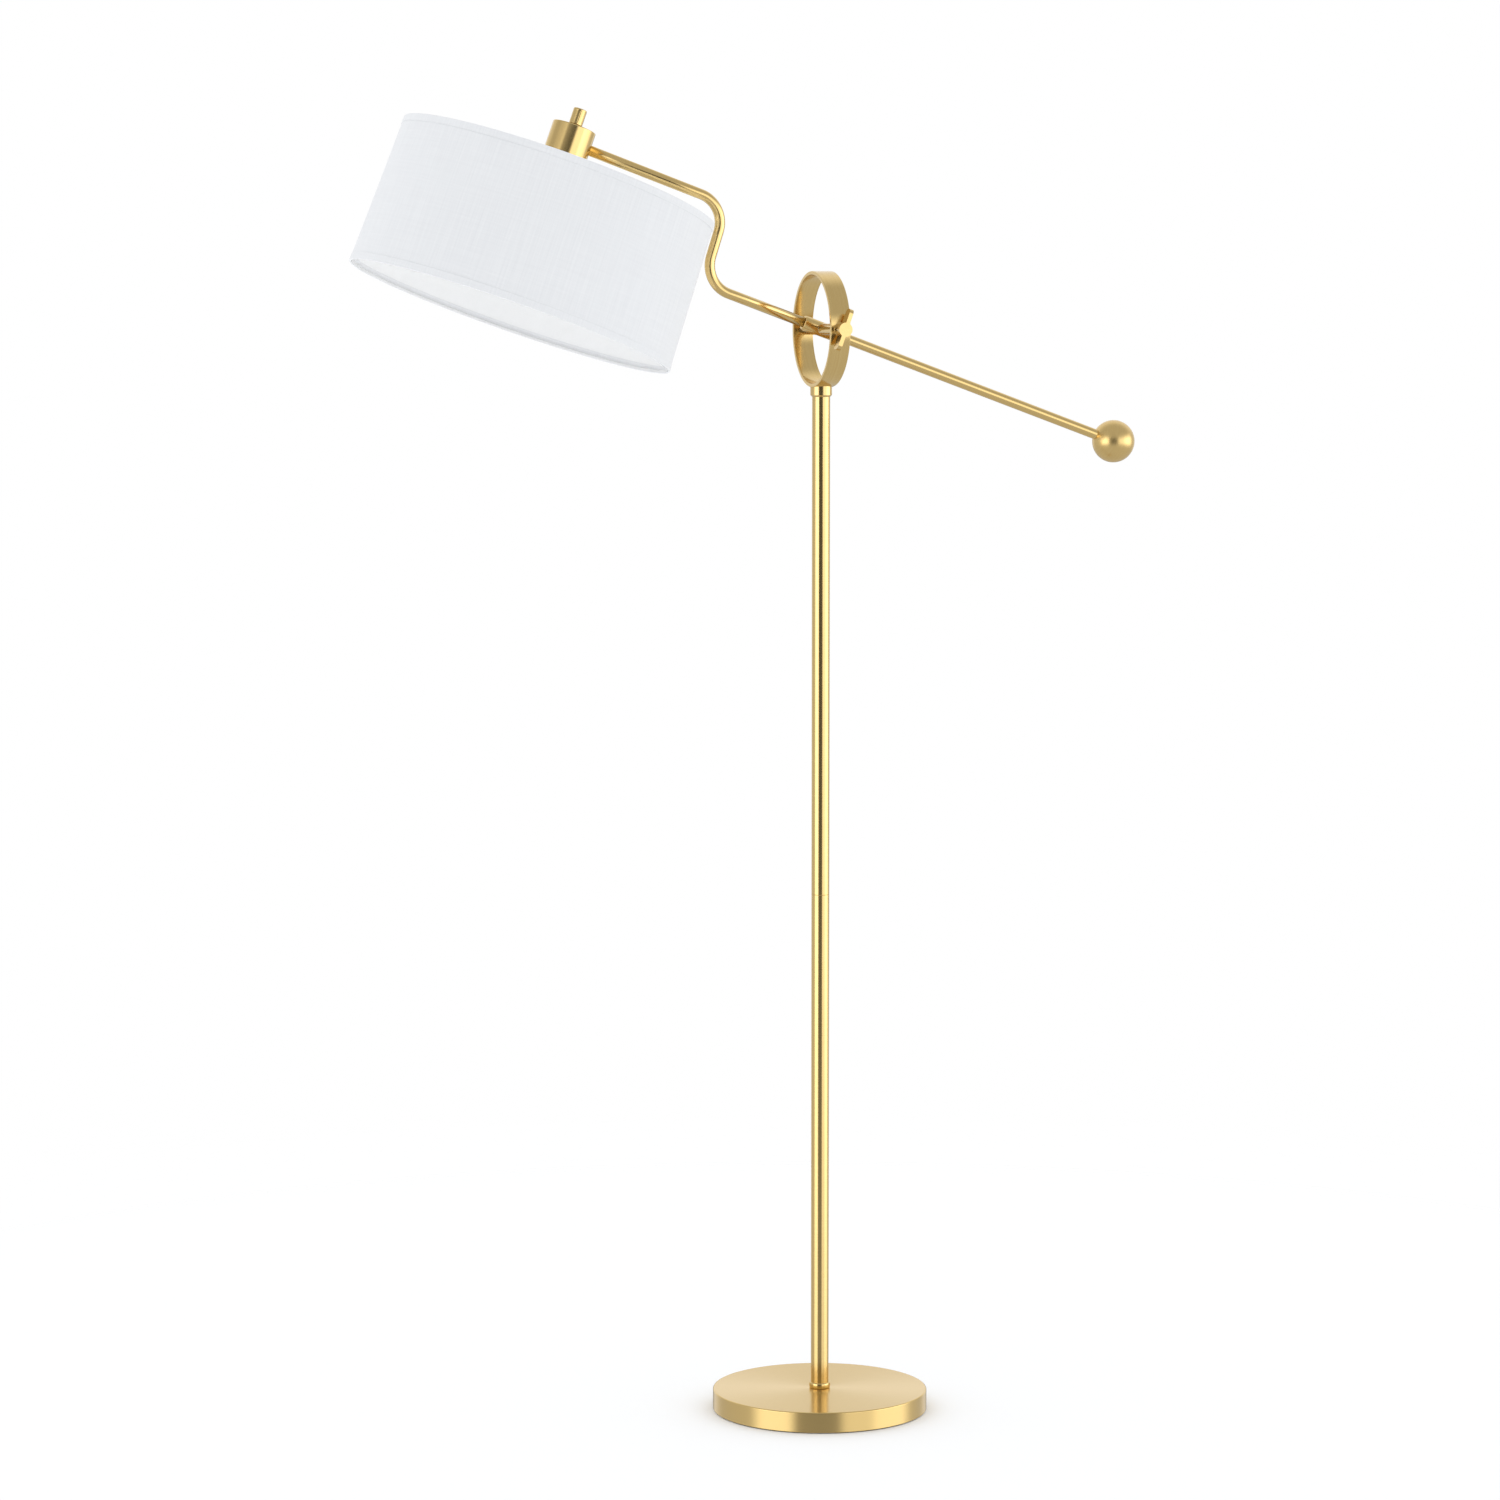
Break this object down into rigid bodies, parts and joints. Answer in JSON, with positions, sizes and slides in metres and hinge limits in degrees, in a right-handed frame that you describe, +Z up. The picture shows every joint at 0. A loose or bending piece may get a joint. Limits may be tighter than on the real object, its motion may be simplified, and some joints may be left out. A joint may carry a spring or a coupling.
{
  "type": "arc floor lamp",
  "caption": "Floor lamp with a disc base, a straight pole and a ring in which a counterbalanced arm tilts, carrying a drum shade and a ball weight.",
  "frame": {"origin": "centre of the underside of the base", "axes": "+Z up along the pole; the arm swings in the XZ plane, shade on -X and counterweight ball on +X; the pivot axle lies along Y with the tension knob on -Y"},
  "size_m": [1.0048, 0.4064, 1.6158],
  "materials": {
    "brass_brushed": "satin brushed brass plate under clear lacquer",
    "brass_turned": "satin brass with fine concentric turning marks",
    "cast_iron": "raw casting",
    "steel": "zinc plated",
    "aluminium": "bright rolled",
    "felt": "dense felt",
    "black_rubber": "matte",
    "white_plastic": "moulded",
    "black_plastic": "moulded",
    "nylon": "moulded nylon",
    "lead_sheath": "smooth fluoropolymer sheath",
    "linen": "white linen weave with a faint vertical slub",
    "shade_lining": "stiff white lining, smooth",
    "white_wire": "white powder coat",
    "bulb_glass": "frosted opal"
  },
  "bodies": {
    "stand": {"base_felt": "felt", "base_weight": "cast_iron", "base_cover": "brass_turned", "base_nipple": "steel", "base_washer": "steel", "base_nut": "steel", "cord_inlet": "black_rubber", "terminal_block": "white_plastic", "pole_foot_plug": "steel", "pole_lower": "brass_brushed", "pole_upper": "brass_brushed", "pole_coupler": "steel", "foot_bead": "brass_brushed", "ring_neck": "brass_brushed", "ring_channel": "brass_brushed", "ring_liner": "brass_brushed", "axle": "steel", "axle_spacer_near": "brass_brushed", "axle_spacer_far": "brass_brushed", "axle_cap_nut": "brass_brushed", "knob_washer": "brass_brushed", "pole_lead": "lead_sheath"},
    "arm": {"pivot_sleeve": "brass_brushed", "pivot_bushes": "nylon", "friction_washers": "nylon", "arm_tube": "brass_brushed", "arm_lead": "lead_sheath", "counterweight_rod": "brass_brushed", "counterweight_ball": "brass_turned", "ball_stud": "steel", "hub_housing": "brass_brushed", "hub_plate": "brass_brushed", "arm_locknut": "steel", "holder_nipple": "steel", "holder_nut": "steel", "switch_body": "black_plastic", "switch_nut": "brass_brushed", "lamp_holder": "black_plastic", "holder_shell": "aluminium", "holder_contact": "brass_brushed", "bulb_cap": "aluminium", "bulb_globe": "bulb_glass", "shade_linen": "linen", "shade_liner": "shade_lining", "shade_trim_top": "linen", "shade_trim_bottom": "linen", "shade_wire_top": "white_wire", "shade_wire_bottom": "white_wire", "fitter_ring": "white_wire", "shade_retainer": "black_plastic", "shade_spokes": "white_wire"},
    "knob": {"tension_knob": "brass_brushed", "knob_insert": "steel"},
    "switch": {"switch_knob": "brass_brushed", "switch_shaft": "steel"}
  },
  "joints": [
    {"name": "arm_tilt", "type": "hinge", "parent": "stand", "child": "arm", "pos_m": [0, 0, 1.3496], "axis": [0, 1, 0], "range_deg": [-65, 35]},
    {"name": "tension_turn", "type": "hinge", "parent": "stand", "child": "knob", "pos_m": [0, -0.08, 1.3496], "axis": [0, -1, 0], "range_deg": [0, 330]},
    {"name": "switch_turn", "type": "hinge", "parent": "arm", "child": "switch", "pos_m": [-0.31165, 0, 1.60067], "axis": [0.3404, 0, 0.9403], "continuous": true}
  ]
}
